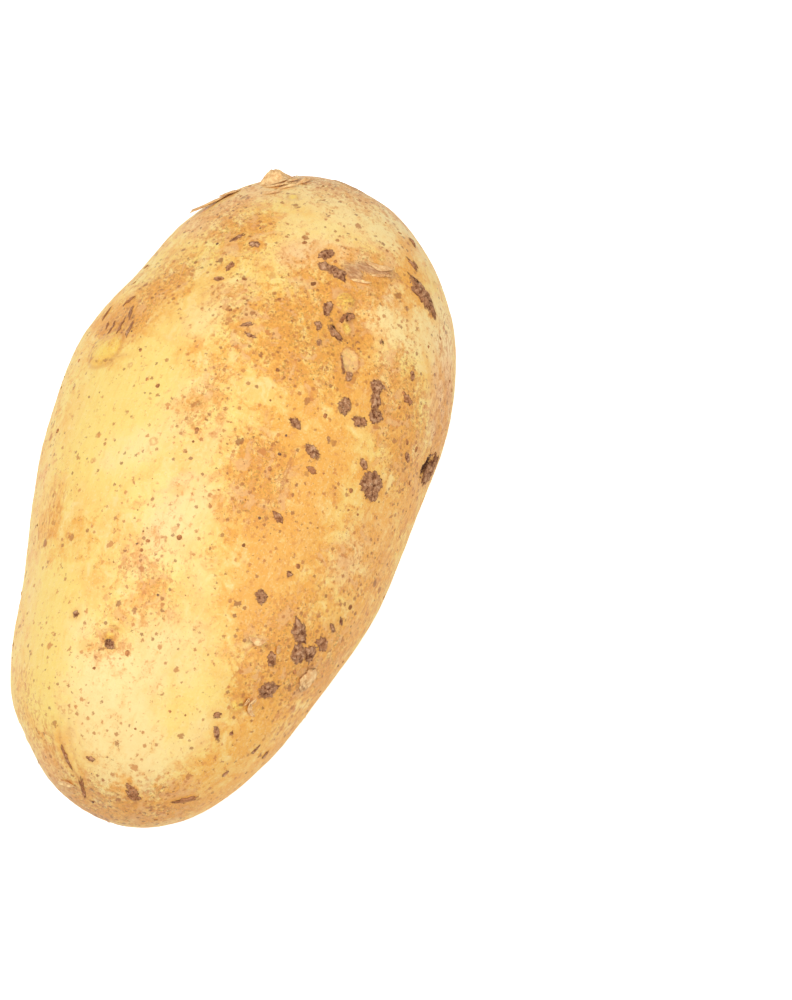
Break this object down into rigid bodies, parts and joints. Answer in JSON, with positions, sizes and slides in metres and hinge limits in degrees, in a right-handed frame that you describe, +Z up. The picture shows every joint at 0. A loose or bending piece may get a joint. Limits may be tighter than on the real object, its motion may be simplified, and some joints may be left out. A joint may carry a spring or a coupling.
{
  "type": "potato",
  "caption": "Long oval potato tuber with shallow eyes and browed hollows, lying on its side on a small level spot worn into its rounded underside.",
  "frame": {"origin": "on the table, under the middle of the tuber's length and width", "axes": "+X along the tuber to its stem end, -X to the bud end where the eyes crowd, +Y to the left seen from the bud end, +Z up, with the tuber lying on its side"},
  "size_m": [0.1198, 0.065, 0.054],
  "materials": {
    "potato_skin": "thin waxy golden-yellow potato skin, satin, with corky brown pores, russet freckles and dull purple-brown scab"
  },
  "bodies": {
    "root": {"potato": "potato_skin"}
  },
  "joints": []
}
